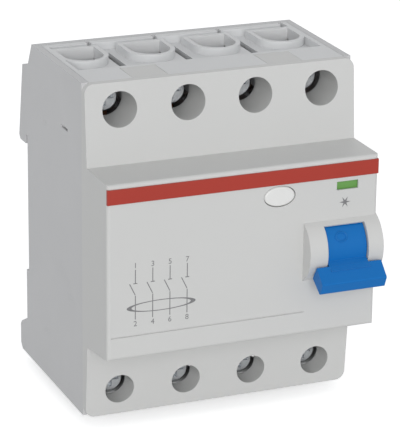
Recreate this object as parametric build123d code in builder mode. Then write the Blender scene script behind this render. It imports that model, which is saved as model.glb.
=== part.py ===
from build123d import *
import math
import os

# A four-pole residual current device for a 35 mm mounting rail.
# X runs across the poles, the front faces -Y and Z is up. The origin lies on the plane
# that seats on the rail, on the rail's centre line, half way across the case.

os.makedirs("parts", exist_ok=True)

# ---------------------------------------------------------------- driving dimensions
# Case
pole_pitch = 17.5
pole_count = 4
case_height = 85.0
wall = 1.8
split_y = -40.5  # plane where the cover meets the base
shoulder_y = -44.0  # shoulder faces, beside the collar
shoulder_draft = 1.6  # how far the shoulders fall back at the top and bottom
collar_y = -57.8  # front face of the collar
collar_top_z = 22.4
collar_bottom_z = -21.6
collar_undercut = 1.7  # fall of the lower ledge from front to shoulder
back_wall = 2.2
corner_radius = 2.4
edge_radius = 0.8

# Rail seat and feet
rail_height = 35.0
rail_clearance = 0.2
rail_flange_gap = 1.3  # pocket for the rail's 1 mm flange
hook_lip = 2.3  # how far the fixed lip covers the flange
hook_foot_top_z = 35.5
hook_foot_y = 6.5
lower_pad_y = 1.8
lower_pad_z = -18.9
foot_y = 7.2
foot_top_z = -32.4
foot_chamfer = 1.3

# Terminal shrouds
shroud_thickness = 3.0
shroud_recess = 2.0
shroud_rear_y = -6.0
ledge_y = -30.0  # rear edge of the front ledge
entry_y = -17.5
entry_radius = 5.0
entry_rim = 1.2
entry_back_y = -11.2
entry_skirt = 4.0  # the rear wall of each entry reaches this far below the plate
fit_gap = 0.1  # between pieces that only locate each other
pole_slot_width = 1.8
pole_slot_shift = -0.6  # the slots stand a little left of the pole boundaries
notch_width = 1.1
notch_shift = 5.0
divider_thickness = 1.2
divider_shift = 1.0
tongue_width = 9.0
tongue_thickness = 1.0

# Terminals
screw_z = 35.8
access_radius_top = 4.4
access_radius_bottom = 3.75
tube_wall = 1.0
tube_end_gap = 0.4  # the guide tubes end this far in front of the screw heads
head_depth_top = 11.0
head_depth_bottom = 7.0
head_radius_top = 3.6
head_radius_bottom = 3.35
head_height = 2.4
recess_width = 0.9
recess_depth = 1.4
tip_gap = 0.05
shank_radius = 2.5
thread_gap = 0.06
bar_front_y = -23.5
bar_thickness = 1.5
bar_width = 7.8
cage_width = 11.0
cage_wall = 1.4
cage_height = 8.4
cage_front_y = -25.1
cage_rear_y = -12.4

# Toggle and its hump
toggle_inset = 9.4  # toggle's centre from the right side
toggle_y = -54.0
toggle_z = -0.4
hump_radius = 8.3
hump_width = 19.5
hump_wall = 1.6
opening_width = 10.8
opening_half_angle = 52.0
drum_radius = 7.5
drum_side_gap = 0.2
handle_width = 17.2
handle_inner = 8.7
handle_outer = 14.0
toggle_half_travel = 33.0
drum_bay_gap = 0.3
pin_radius = 1.5
small_pin_radius = 1.0
crank_radius = 4.0

# Contact carrier and contacts
carrier_y = -28.0
carrier_radius = 4.5
journal_radius = 3.0
journal_gap = 0.06
carrier_half_travel = 15.0
carrier_crank = crank_radius * math.sin(math.radians(toggle_half_travel)) / math.sin(
    math.radians(carrier_half_travel)
)
arm_width = 4.0
arm_thickness = 1.2
arm_length = 22.0
pad_radius = 2.0
pad_height = 1.0
contact_z = 15.5
wire_radius = 0.8

# Front controls
button_x = 9.0
button_z = 14.6
button_length = 8.0
button_height = 5.0
button_gap = 0.15
button_travel = 1.6
strip_z = 19.4
strip_height = 3.75
strip_proud = 0.3
strip_inlay = 0.5
strip_gap = 0.02
window_from_right = 8.1
window_z = 15.45
window_width = 5.7
window_height = 2.15
flag_radius = 6.6
flag_gap = 0.15
flag_y = -50.5
flag_margin = 15.0  # degrees of flag face beyond the window's centre at each end

# Toroid and its leads
toroid_x = -8.75
toroid_outer = 15.0
toroid_inner = 8.0
toroid_top_z = -14.0
toroid_height = 11.0
lead_radius = 1.4
lead_gap = 0.2

# Rail clip
clip_width = 16.0
clip_thickness = 3.5
clip_floor_y = 1.2
clip_bottom_z = -45.5
clip_travel = 4.0
clip_gap = 0.1
clip_lip_width = 2.0
clip_corner = 2.5
peg_radius = 1.0
peg_drop = 0.6  # the peg's axis below the foot's top

# ---------------------------------------------------------------- worked-out places
case_width = pole_pitch * pole_count
right = case_width / 2
top_z = case_height / 2
inner_x = right - wall
pole_x = [pole_pitch * (i - (pole_count - 1) / 2) for i in range(pole_count)]
boundary_x = [pole_pitch * (i - pole_count / 2) for i in range(1, pole_count)]
front_inner_y = collar_y + wall
shroud_inner_z = top_z - shroud_thickness
toggle_x = right - toggle_inset
hump_left = right - hump_width
opening_left = toggle_x - opening_width / 2
opening_right = toggle_x + opening_width / 2
window_x = right - window_from_right
flag_axis_z = window_z - 0.05
bar_rear_y = bar_front_y + bar_thickness
pin_z = toggle_z + crank_radius * math.cos(math.radians(toggle_half_travel))
pin_rest_y = toggle_y - crank_radius * math.sin(math.radians(toggle_half_travel))
carrier_z = pin_z - carrier_crank * math.cos(math.radians(carrier_half_travel))
carrier_pin_y = carrier_y - carrier_crank * math.sin(math.radians(carrier_half_travel))
hook_lip_z = rail_height / 2 - hook_lip
peg_z = foot_top_z - peg_drop
toroid_y = (bar_front_y + bar_rear_y) / 2


def save(part, name):
    """Label a finished piece and write it to its own STEP file."""
    part.label = name
    export_step(part, f"parts/{name}.step")


def shoulder_face_y(z):
    """Y of the sloping shoulder face at height z, above or below the collar."""
    if z > 0:
        share = (z - collar_top_z) / (top_z - collar_top_z)
    else:
        lower_edge = collar_bottom_z - collar_undercut
        share = (z - lower_edge) / (-top_z - lower_edge)
    return shoulder_y + shoulder_draft * share


# ---------------------------------------------------------------- rear base
# Grey moulding: back wall with the rail recess, the fixed hook, the lower foot with the
# clip's channel, and the two side walls. It is open at the front, top and bottom.
with BuildPart() as rear_base:
    with BuildSketch(Plane.YZ.offset(-right)):
        with BuildLine():
            Polyline(
                (split_y, top_z),
                (-4.0, top_z),
                (-1.0, hook_foot_top_z + 1.2),
                (3.4, hook_foot_top_z),
                (hook_foot_y, hook_lip_z + 1.0),
                (hook_foot_y - 0.8, hook_lip_z),
                (rail_flange_gap, hook_lip_z),
                (rail_flange_gap, rail_height / 2 + rail_clearance),
                (0, rail_height / 2 + rail_clearance),
                (0, lower_pad_z),
                (lower_pad_y, lower_pad_z),
                (lower_pad_y, foot_top_z),
                (foot_y - 0.8, foot_top_z - 2.4),
                (foot_y, foot_top_z - 3.4),
                (foot_y, -top_z + foot_chamfer),
                (foot_y - foot_chamfer, -top_z),
                (split_y, -top_z),
                close=True,
            )
        make_face()
    extrude(amount=case_width)
    with BuildSketch(Plane.YZ.offset(-inner_x)):
        with BuildLine():
            Polyline(
                (split_y - 1, top_z + 1),
                (shroud_rear_y, top_z + 1),
                (shroud_rear_y, shroud_inner_z - 0.8),
                (-back_wall, shroud_inner_z - 3.8),
                (-back_wall, -shroud_inner_z + 3.8),
                (shroud_rear_y, -shroud_inner_z + 0.8),
                (shroud_rear_y, -top_z - 1),
                (split_y - 1, -top_z - 1),
                close=True,
            )
        make_face()
    extrude(amount=2 * inner_x, mode=Mode.SUBTRACT)
    # posts behind the fixed contacts
    post_width = 6.0
    post_height = 8.0
    with BuildSketch(Plane.XZ.offset(back_wall)):
        with Locations([(x, contact_z + 5.5) for x in pole_x]):
            Rectangle(post_width, post_height)
    extrude(amount=-bar_rear_y - back_wall)
    # cradle behind the toroid
    cradle_width = 15.0
    cradle_gap = 0.3
    with BuildSketch(Plane.XZ.offset(back_wall)):
        with Locations((toroid_x, toroid_top_z - toroid_height / 2)):
            Rectangle(cradle_width, toroid_height - 3)
    extrude(amount=-(toroid_y + toroid_outer) - back_wall - cradle_gap)
    # channel that the clip slides in, with two lips that hold it
    with BuildSketch(Plane.XY.offset(-top_z - 1)):
        with Locations((0, (clip_floor_y + clip_floor_y + clip_thickness + 2 * clip_gap) / 2)):
            Rectangle(clip_width + 4 * clip_gap, clip_thickness + 2 * clip_gap)
        with Locations((0, foot_y)):
            Rectangle(clip_width - 2 * clip_lip_width, 2 * (foot_y - clip_floor_y - clip_thickness))
    extrude(amount=top_z + 1 + lower_pad_z, mode=Mode.SUBTRACT)
    # peg that the clip's spring pushes on
    with BuildSketch(Plane.XZ.offset(-clip_floor_y)):
        with Locations((0, peg_z)):
            Circle(peg_radius)
    extrude(amount=-(clip_thickness - 0.2))
    # a small vent slit high on each side
    slit_y = -28.2
    slit_z = 27.9
    slit_length = 4.6
    slit_height = 0.7
    with BuildSketch(Plane.YZ.offset(-right - 1)):
        with Locations((slit_y, slit_z)):
            Rectangle(slit_length, slit_height)
    extrude(amount=wall + 2, mode=Mode.SUBTRACT)
save(rear_base.part, "rear_base")

# ---------------------------------------------------------------- front cover
# Off-white moulding: both shoulders with the screw holes, the collar, and the hump that
# the toggle turns in. Two tongues lie in the top shroud's ledge and hold it closed.
top_holes = [(x, screw_z) for x in pole_x]
bottom_holes = [(x, -screw_z) for x in pole_x]
top_head_y = shoulder_face_y(screw_z) + head_depth_top
bottom_head_y = shoulder_face_y(-screw_z) + head_depth_bottom
tongue_x = [boundary_x[0], boundary_x[-1]]
tongue_end_y = ledge_y - 1.5
with BuildPart() as front_cover:
    with BuildSketch(Plane.YZ.offset(-right)):
        with BuildLine():
            Polyline(
                (split_y, top_z),
                (shoulder_y + shoulder_draft, top_z),
                (shoulder_y, collar_top_z),
                (collar_y, collar_top_z),
                (collar_y, collar_bottom_z),
                (shoulder_y, collar_bottom_z - collar_undercut),
                (shoulder_y + shoulder_draft, -top_z),
                (split_y, -top_z),
                close=True,
            )
        make_face()
    extrude(amount=case_width)
    front_edges = front_cover.edges().filter_by(Axis.X).group_by(Axis.Y)[0]
    side_edges = front_cover.faces().sort_by(Axis.Y)[0].edges().filter_by(Axis.Z)
    fillet(list(front_edges) + list(side_edges), edge_radius)
    corner_edges = front_cover.edges().filter_by(Axis.Y).filter_by(
        lambda e: abs(abs(e.center().Z) - top_z) < 0.01
    )
    fillet(corner_edges, corner_radius)
    with BuildSketch(Plane.YZ.offset(hump_left)):
        with Locations((toggle_y, toggle_z)):
            Circle(hump_radius)
    extrude(amount=hump_width)
    # inside of the shell
    with BuildSketch(Plane.YZ.offset(-inner_x)):
        with BuildLine():
            Polyline(
                (toggle_y + hump_radius + 10, top_z - wall),
                (shoulder_y + shoulder_draft + wall, top_z - wall),
                (shoulder_y + wall, collar_top_z - wall),
                (front_inner_y, collar_top_z - wall),
                (front_inner_y, collar_bottom_z + wall),
                (shoulder_y + wall, collar_bottom_z - collar_undercut + wall),
                (shoulder_y + shoulder_draft + wall, -top_z + wall),
                (toggle_y + hump_radius + 10, -top_z + wall),
                close=True,
            )
        make_face()
    extrude(amount=2 * inner_x, mode=Mode.SUBTRACT)
    # hollow of the hump, then the drum's bay and its opening
    with BuildSketch(Plane.YZ.offset(hump_left + hump_wall)):
        with Locations((toggle_y, toggle_z)):
            Circle(hump_radius - hump_wall)
    extrude(amount=hump_width - hump_wall - wall, mode=Mode.SUBTRACT)
    with BuildSketch(Plane.YZ.offset(opening_left)):
        with Locations((toggle_y, toggle_z)):
            Circle(drum_radius + drum_bay_gap)
        reach = 2 * hump_radius
        rise = reach * math.tan(math.radians(opening_half_angle))
        with BuildLine():
            Polyline(
                (toggle_y, toggle_z),
                (toggle_y - reach, toggle_z + rise),
                (toggle_y - reach, toggle_z - rise),
                close=True,
            )
        make_face()
    extrude(amount=opening_width, mode=Mode.SUBTRACT)
    # guide tubes behind the screw holes
    for holes, bore, head_y in (
        (top_holes, access_radius_top, top_head_y),
        (bottom_holes, access_radius_bottom, bottom_head_y),
    ):
        with BuildSketch(Plane.XZ.offset(-(head_y - tube_end_gap))):
            with Locations(holes):
                Circle(bore + tube_wall)
        extrude(amount=(head_y - tube_end_gap) - (shoulder_y + shoulder_draft + 0.2))
        with BuildSketch(Plane.XZ.offset(-split_y / 2)):
            with Locations(holes):
                Circle(bore)
        extrude(amount=-split_y, mode=Mode.SUBTRACT)
    # test button hole, flag window and the seat of the colour strip
    with BuildSketch(Plane.XZ.offset(-collar_y - strip_inlay)):
        with Locations((0, strip_z)):
            Rectangle(case_width + 2, strip_height)
    extrude(amount=strip_inlay + 1, mode=Mode.SUBTRACT)
    with BuildSketch(Plane.XZ.offset(-front_inner_y - 1)):
        with Locations((button_x, button_z)):
            Ellipse(button_length / 2 + button_gap, button_height / 2 + button_gap)
        with Locations((window_x, window_z)):
            Rectangle(window_width, window_height)
    extrude(amount=wall + 2, both=True, mode=Mode.SUBTRACT)
    # pocket that lets the flag's face turn close behind the window
    with BuildSketch(Plane.YZ.offset(window_x - window_width / 2 - 0.5 - flag_gap)):
        with Locations((flag_y, flag_axis_z)):
            Circle(flag_radius + flag_gap)
    extrude(amount=window_width + 1.0 + 2 * flag_gap, mode=Mode.SUBTRACT)
    # guide rib for the test button's stem
    with BuildSketch(Plane.XZ.offset(49.6)):
        with Locations((button_x, (button_z - 3.5 + collar_top_z - wall) / 2)):
            Rectangle(9.0, collar_top_z - wall - button_z + 3.5)
        with Locations((button_x, button_z)):
            Circle(1.5, mode=Mode.SUBTRACT)
    extrude(amount=1.2)
    # scored line above the collar's lower edge
    score_length = 50.0
    score_width = 0.3
    score_depth = 0.25
    with BuildSketch(Plane.XZ.offset(-collar_y - score_depth)):
        with Locations((-9.0, collar_bottom_z + 5.7)):
            Rectangle(score_length, score_width)
    extrude(amount=1, mode=Mode.SUBTRACT)
    # tongues over the top shroud
    with BuildSketch(Plane.XY.offset(top_z - tongue_thickness)):
        for x in tongue_x:
            with Locations((x, (split_y - 0.5 + tongue_end_y) / 2)):
                Rectangle(tongue_width, tongue_end_y - split_y + 0.5)
    extrude(amount=tongue_thickness)
save(front_cover.part, "front_cover")


# ---------------------------------------------------------------- terminal shrouds
# Greenish-grey insulating plates in the open top and bottom of the base. Each has a
# front ledge, four D-shaped collars round the cable entries, and slots between poles.
def terminal_shroud(with_tongues, bore, head_y):
    floor_z = top_z - shroud_recess
    inner = inner_x - fit_gap
    with BuildPart() as shroud:
        with BuildSketch(Plane.XY.offset(shroud_inner_z)):
            with Locations((0, (split_y + shroud_rear_y - fit_gap) / 2)):
                Rectangle(2 * inner, shroud_rear_y - fit_gap - split_y)
        extrude(amount=shroud_thickness)
        recess_rear = shroud_rear_y - 2.0
        with BuildSketch(Plane.XY.offset(floor_z)):
            with Locations((0, (ledge_y + recess_rear) / 2)):
                Rectangle(2 * inner - 2.4, recess_rear - ledge_y)
            with Locations([(x, entry_y) for x in pole_x]):
                Circle(entry_radius + entry_rim, mode=Mode.SUBTRACT)
            collar_rear = entry_back_y + entry_rim
            with Locations([(x, (entry_y + collar_rear) / 2) for x in pole_x]):
                Rectangle(2 * (entry_radius + entry_rim), collar_rear - entry_y, mode=Mode.SUBTRACT)
        extrude(amount=shroud_recess + 1, mode=Mode.SUBTRACT)
        with BuildSketch(Plane.XY.offset(shroud_inner_z - 1)):
            with Locations([(x, entry_y) for x in pole_x]):
                Circle(entry_radius)
            with Locations([(x, (entry_y + entry_back_y) / 2) for x in pole_x]):
                Rectangle(2 * entry_radius, entry_back_y - entry_y)
            slot_front_y = ledge_y + 2.5
            slot_places = [(x + pole_slot_shift, (slot_front_y + entry_back_y) / 2) for x in boundary_x]
            with Locations(slot_places):
                Rectangle(pole_slot_width, entry_back_y - slot_front_y)
        extrude(amount=shroud_thickness + 2, mode=Mode.SUBTRACT)
        # notches in the rear wall
        with BuildSketch(Plane.XY.offset(floor_z)):
            with Locations([(x + notch_shift, shroud_rear_y - 1.2) for x in pole_x]):
                Rectangle(notch_width, 3.0)
        extrude(amount=shroud_recess + 1, mode=Mode.SUBTRACT)
        # skirts behind the clamps, flush with the rear walls of the entries
        with BuildSketch(Plane.XY.offset(shroud_inner_z)):
            with Locations([(x, entry_back_y + entry_rim / 2) for x in pole_x]):
                Rectangle(2 * entry_radius, entry_rim)
        extrude(amount=-entry_skirt)
        # walls between neighbouring terminals
        with BuildSketch(Plane.XY.offset(shroud_inner_z)):
            divider_y = (bar_front_y + shroud_rear_y) / 2 - 2
            with Locations([(x + divider_shift, divider_y) for x in boundary_x]):
                Rectangle(divider_thickness, shroud_rear_y - bar_front_y)
        extrude(amount=-cage_height)
        # room for the cover's guide tubes
        with BuildSketch(Plane.XZ.offset(-head_y)):
            with Locations([(x, screw_z) for x in pole_x]):
                Circle(bore + tube_wall + fit_gap)
        extrude(amount=head_y - split_y + 1, mode=Mode.SUBTRACT)
        if with_tongues:
            with BuildSketch(Plane.XY.offset(top_z - tongue_thickness - fit_gap)):
                for x in tongue_x:
                    with Locations((x, (split_y - 1 + tongue_end_y + fit_gap) / 2)):
                        Rectangle(tongue_width + 2 * fit_gap, tongue_end_y + fit_gap - split_y + 1)
            extrude(amount=tongue_thickness + 1, mode=Mode.SUBTRACT)
    return shroud.part


top_shroud = terminal_shroud(True, access_radius_top, top_head_y)
bottom_shroud = terminal_shroud(False, access_radius_bottom, bottom_head_y)
save(top_shroud, "terminal_shroud_top")
save(mirror(bottom_shroud, about=Plane.XY), "terminal_shroud_bottom")

# ---------------------------------------------------------------- colour strip
with BuildPart() as colour_strip:
    with BuildSketch(Plane.XZ.offset(-collar_y - strip_inlay)):
        with Locations((0, strip_z)):
            Rectangle(case_width, strip_height - 2 * strip_gap)
    extrude(amount=strip_inlay + strip_proud)
    fillet(colour_strip.edges().group_by(Axis.Y)[0], 0.15)
save(colour_strip.part, "colour_strip")


# ---------------------------------------------------------------- terminals
def terminal_screw(x, z, head_y, head_radius):
    """Cross-recess clamping screw; its tip stands against the copper bar."""
    with BuildPart() as screw:
        with BuildSketch(Plane.XZ.offset(-head_y)):
            with Locations((x, z)):
                Circle(head_radius)
        extrude(amount=-head_height)
        chamfer(screw.edges().group_by(Axis.Y)[0], 0.4)
        with BuildSketch(Plane.XZ.offset(-head_y)):
            with Locations((x, z)):
                Rectangle(head_radius * 1.3, recess_width)
                Rectangle(recess_width, head_radius * 1.3)
        extrude(amount=-recess_depth, mode=Mode.SUBTRACT)
        with BuildSketch(Plane.XZ.offset(-head_y - head_height)):
            with Locations((x, z)):
                Circle(shank_radius)
        extrude(amount=-(bar_front_y - tip_gap - head_y - head_height))
        chamfer(screw.edges().group_by(Axis.Y)[-1], 0.5)
    return screw.part


def clamp_cage(x, side):
    """Steel box that the screw draws forward, pinching the cable behind the bar."""
    outer_z = shroud_inner_z - 2 * fit_gap
    low_z = outer_z - cage_height if side > 0 else -outer_z
    with BuildPart() as cage:
        with BuildSketch(Plane.XY.offset(low_z)):
            with Locations((x, (cage_front_y + cage_rear_y) / 2)):
                Rectangle(cage_width, cage_rear_y - cage_front_y)
                Rectangle(
                    cage_width - 2 * cage_wall,
                    cage_rear_y - cage_front_y - 2 * cage_wall,
                    mode=Mode.SUBTRACT,
                )
        extrude(amount=cage_height)
        with BuildSketch(Plane.XZ.offset(-cage_front_y - cage_wall - 1)):
            with Locations((x, side * screw_z)):
                Circle(shank_radius + thread_gap)
        extrude(amount=cage_wall + 2, mode=Mode.SUBTRACT)
    return cage.part


for number, x in enumerate(pole_x, start=1):
    save(terminal_screw(x, screw_z, top_head_y, head_radius_top), f"top_screw_{number}")
    save(terminal_screw(x, -screw_z, bottom_head_y, head_radius_bottom), f"bottom_screw_{number}")
    save(clamp_cage(x, 1), f"top_clamp_{number}")
    save(clamp_cage(x, -1), f"bottom_clamp_{number}")

# Copper bars: each carries a terminal at its outer end. The line bars reach down to the
# fixed contact pads; the load bars stop short of the toroid and take the leads' ends.
load_bar_z = toroid_top_z - toroid_height - lead_radius / 2
with BuildPart() as line_bars:
    with BuildSketch(Plane.XZ.offset(-bar_rear_y)):
        line_low_z = contact_z - pad_radius - 0.5
        with Locations([(x, (line_low_z + shroud_inner_z - 0.05) / 2) for x in pole_x]):
            Rectangle(bar_width, shroud_inner_z - 0.05 - line_low_z)
    extrude(amount=bar_thickness)
    with BuildSketch(Plane.XZ.offset(-bar_front_y)):
        with Locations([(x, contact_z) for x in pole_x]):
            Circle(pad_radius)
    extrude(amount=pad_height)
save(line_bars.part, "line_bars")

with BuildPart() as load_bars:
    with BuildSketch(Plane.XZ.offset(-bar_rear_y)):
        with Locations([(x, (load_bar_z - shroud_inner_z + 0.05) / 2) for x in pole_x]):
            Rectangle(bar_width, load_bar_z + shroud_inner_z - 0.05)
    extrude(amount=bar_thickness)
save(load_bars.part, "load_bars")

# ---------------------------------------------------------------- toroid and leads
with BuildPart() as toroid_core:
    with BuildSketch(Plane.XY.offset(toroid_top_z - toroid_height)):
        with Locations((toroid_x, toroid_y)):
            Circle(toroid_outer)
            Circle(toroid_inner, mode=Mode.SUBTRACT)
    extrude(amount=toroid_height)
    winding_groove = 1.2
    winding_half_angle = 28.0
    with BuildSketch(Plane.XY.offset(toroid_top_z - toroid_height)):
        with BuildLine():
            far = 2 * toroid_outer
            spread = far * math.tan(math.radians(winding_half_angle))
            Polyline(
                (toroid_x, toroid_y),
                (toroid_x - far, toroid_y + spread),
                (toroid_x - far, toroid_y - spread),
                close=True,
            )
        make_face()
        with Locations((toroid_x, toroid_y)):
            Circle(toroid_outer, mode=Mode.INTERSECT)
            Circle(toroid_outer - winding_groove, mode=Mode.SUBTRACT)
    extrude(amount=toroid_height, mode=Mode.SUBTRACT)
save(toroid_core.part, "toroid_core")

# secondary winding: a band of wire laid in the groove on the toroid's left side
with BuildPart() as secondary_winding:
    with BuildSketch(Plane.XY.offset(toroid_top_z - toroid_height + 0.1)):
        with BuildLine():
            Polyline(
                (toroid_x, toroid_y),
                (toroid_x - far, toroid_y + spread - 1.0),
                (toroid_x - far, toroid_y - spread + 1.0),
                close=True,
            )
        make_face()
        with Locations((toroid_x, toroid_y)):
            Circle(toroid_outer - 0.1, mode=Mode.INTERSECT)
            Circle(toroid_outer - winding_groove + 0.05, mode=Mode.SUBTRACT)
    extrude(amount=toroid_height - 0.2)
save(secondary_winding.part, "secondary_winding")

# primary leads: the outer poles pass behind the bars' plane, the inner ones in front
lead_top_z = toroid_top_z + lead_radius + 0.7
lead_low_z = toroid_top_z - toroid_height - lead_radius - 0.7
lead_side_x = lead_radius + 0.3
lead_back_y = bar_rear_y + lead_gap + lead_radius
lead_front_y = bar_front_y - lead_gap - lead_radius
lead_end_y = -36.5
turn_radius = lead_radius + 0.05
lead_plan = [
    (toroid_x - lead_side_x, lead_back_y, bar_rear_y),
    (toroid_x - lead_side_x, lead_front_y, bar_front_y),
    (toroid_x + lead_side_x, lead_front_y, bar_front_y),
    (toroid_x + lead_side_x, lead_back_y, bar_rear_y),
]
with BuildPart() as primary_leads:
    for x, (hole_x, hole_y, bar_face_y) in zip(pole_x, lead_plan):
        points = [(x, lead_end_y, lead_top_z)]
        points += [(x, hole_y, lead_top_z), (hole_x, hole_y, lead_top_z)]
        points += [(hole_x, hole_y, lead_low_z)]
        if abs(x - hole_x) < 2 * turn_radius:
            points = [(hole_x, lead_end_y, lead_top_z), (hole_x, hole_y, lead_top_z)]
            points += [(hole_x, hole_y, lead_low_z), (hole_x, bar_face_y, lead_low_z)]
        else:
            points += [(x, hole_y, lead_low_z), (x, bar_face_y, lead_low_z)]
        with BuildLine():
            route = FilletPolyline(*points, radius=turn_radius)
        with BuildSketch(Plane(origin=route @ 0, z_dir=route % 0)):
            Circle(lead_radius)
        sweep()
save(primary_leads.part, "primary_leads")

# ---------------------------------------------------------------- phase barriers
# Insulating walls between the poles. Each has a slot, open to the front, that the
# carrier's journal turns in. The middle one reaches forward into the collar.
barrier_thickness = 1.6
barrier_x = [boundary_x[0], boundary_x[1], hump_left + 0.7]
barrier_low_z = lead_top_z + lead_radius + 0.3
barrier_front_y = carrier_y - 8.0
collar_rear_y = shoulder_y + 5.6
with BuildPart() as phase_barriers:
    for number, x in enumerate(barrier_x):
        with BuildSketch(Plane.YZ.offset(x - barrier_thickness / 2)):
            with BuildLine():
                Polyline(
                    (-back_wall, barrier_low_z),
                    (-back_wall, shroud_inner_z - cage_height - 2),
                    (barrier_front_y, shroud_inner_z - cage_height - 2),
                    (barrier_front_y, barrier_low_z),
                    close=True,
                )
            make_face()
            if number == 1:
                with BuildLine():
                    Polyline(
                        (barrier_front_y, collar_top_z - wall - 0.3),
                        (-46.0, collar_top_z - wall - 0.3),
                        (-46.0, 7.0),
                        (front_inner_y + 0.5, 7.0),
                        (front_inner_y + 0.5, collar_bottom_z + wall + 0.3),
                        (collar_rear_y, collar_bottom_z + wall + 0.3),
                        (collar_rear_y, barrier_low_z),
                        (barrier_front_y, barrier_low_z),
                        close=True,
                    )
                make_face()
            with Locations((carrier_y, carrier_z)):
                Circle(journal_radius + journal_gap, mode=Mode.SUBTRACT)
            with Locations(((carrier_y + barrier_front_y) / 2 - 0.5, carrier_z)):
                slot_length = carrier_y - barrier_front_y + 1.0
                if number != 1:
                    Rectangle(slot_length, 2 * (journal_radius + journal_gap), mode=Mode.SUBTRACT)
        extrude(amount=barrier_thickness)
save(phase_barriers.part, "phase_barriers")

# ---------------------------------------------------------------- mechanism frame
plate_thickness = 0.9
plate_left_x = opening_left - 2.9
plate_right_x = opening_right + 0.3
plate_low_z = carrier_z + carrier_radius + 0.7
plate_high_z = plate_low_z + 6.0
trip_y = -44.0
trip_z = (plate_low_z + plate_high_z) / 2 + 0.4
plate_radius = 6.2
with BuildPart() as frame_plates:
    for x in (plate_left_x, plate_right_x):
        with BuildSketch(Plane.YZ.offset(x)):
            with Locations((toggle_y, toggle_z)):
                Circle(plate_radius)
            with Locations(((toggle_y - back_wall) / 2, (plate_low_z + plate_high_z) / 2)):
                Rectangle(-toggle_y - back_wall, plate_high_z - plate_low_z)
            with BuildLine():
                Polyline(
                    (flag_y - 2.6, plate_low_z + 1),
                    (flag_y - 2.6, flag_axis_z + 2.6),
                    (flag_y + 2.6, flag_axis_z + 2.6),
                    (flag_y + 5.0, plate_low_z + 1),
                    close=True,
                )
            make_face()
            with BuildLine():
                Polyline(
                    (-back_wall, plate_low_z),
                    (-back_wall, plate_high_z + 8),
                    (-back_wall - 3, plate_high_z + 8),
                    (-back_wall - 10, plate_high_z),
                    (-back_wall - 10, plate_low_z),
                    close=True,
                )
            make_face()
            with Locations((toggle_y, toggle_z)):
                Circle(pin_radius, mode=Mode.SUBTRACT)
            with Locations((flag_y, flag_axis_z), (trip_y, trip_z)):
                Circle(small_pin_radius, mode=Mode.SUBTRACT)
            with Locations((-16.0, trip_z)):
                Circle(small_pin_radius, mode=Mode.SUBTRACT)
        extrude(amount=plate_thickness)
save(frame_plates.part, "mechanism_frame")


def cross_pin(y, z, radius, x_from, x_to):
    with BuildPart() as pin:
        with BuildSketch(Plane.YZ.offset(x_from)):
            with Locations((y, z)):
                Circle(radius - 0.02)
        extrude(amount=x_to - x_from)
        chamfer(pin.edges().filter_by(GeomType.CIRCLE), 0.15)
    return pin.part


plate_outer_x = plate_right_x + plate_thickness
save(cross_pin(toggle_y, toggle_z, pin_radius, plate_left_x, plate_outer_x), "toggle_pin")
save(cross_pin(flag_y, flag_axis_z, small_pin_radius, plate_left_x, plate_outer_x), "flag_pin")
save(cross_pin(-16.0, trip_z, small_pin_radius, plate_left_x, plate_outer_x), "frame_spacer")
trip_lever_x = 8.0
save(
    cross_pin(trip_y, trip_z, small_pin_radius, trip_lever_x - 3.0, plate_left_x + plate_thickness),
    "trip_pin",
)

# ---------------------------------------------------------------- toggle lever
# Blue moulding: a drum on the toggle pin and a wide handle. It stands at its lower
# position, with the contacts open.
handle_angle = math.radians(toggle_half_travel)
toggle_plane = Plane(
    origin=(toggle_x, toggle_y, toggle_z),
    x_dir=(0, -math.cos(handle_angle), -math.sin(handle_angle)),
    z_dir=(-1, 0, 0),
)
drum_width = opening_width - 2 * drum_side_gap
with BuildPart() as toggle_lever:
    with BuildSketch(toggle_plane):
        Circle(drum_radius)
        with Locations(((drum_radius + handle_inner) / 2, 0.45)):
            Rectangle(handle_inner - drum_radius + 3.0, 4.0)
    extrude(amount=drum_width / 2, both=True)
    with BuildSketch(toggle_plane):
        with BuildLine():
            Polyline(
                (handle_inner, 2.5),
                (handle_outer - 0.6, 1.65),
                (handle_outer, -1.6),
                (handle_inner, -1.5),
                close=True,
            )
        make_face()
    extrude(amount=handle_width / 2, both=True)
    outer_edges = toggle_lever.edges().filter_by(Axis.X).filter_by(
        lambda e: math.hypot(e.center().Y - toggle_y, e.center().Z - toggle_z) > handle_outer - 1.5
    )
    fillet(outer_edges, 0.5)
    with BuildSketch(Plane.YZ.offset(opening_left - 1)):
        with Locations((toggle_y, toggle_z)):
            Circle(pin_radius + 0.05)
    extrude(amount=opening_width + 2, mode=Mode.SUBTRACT)
    with BuildSketch(Plane.YZ.offset(opening_left - 1)):
        with Locations((pin_rest_y, pin_z)):
            Circle(wire_radius + 0.08)
    extrude(amount=1 + drum_side_gap + 2.7, mode=Mode.SUBTRACT)
save(toggle_lever.part, "toggle_lever")

# ---------------------------------------------------------------- drive link
link_x = opening_left - 0.95
link_end_x = link_x + 3.6
with BuildPart() as drive_link:
    with BuildLine():
        link_line = FilletPolyline(
            (link_end_x, pin_rest_y, pin_z),
            (link_x, pin_rest_y, pin_z),
            (link_x, carrier_pin_y, pin_z),
            (link_end_x, carrier_pin_y, pin_z),
            radius=1.0,
        )
    with BuildSketch(Plane(origin=link_line @ 0, z_dir=link_line % 0)):
        Circle(wire_radius)
    sweep()
save(drive_link.part, "drive_link")


# ---------------------------------------------------------------- contact carrier
def arm_plane(x):
    """Plane of one contact arm: local x runs along the arm, local y towards closing."""
    angle = math.radians(2 * carrier_half_travel)
    return Plane(
        origin=(x, carrier_y, carrier_z),
        x_dir=(0, -math.sin(angle), math.cos(angle)),
        z_dir=(-1, 0, 0),
    )


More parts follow.
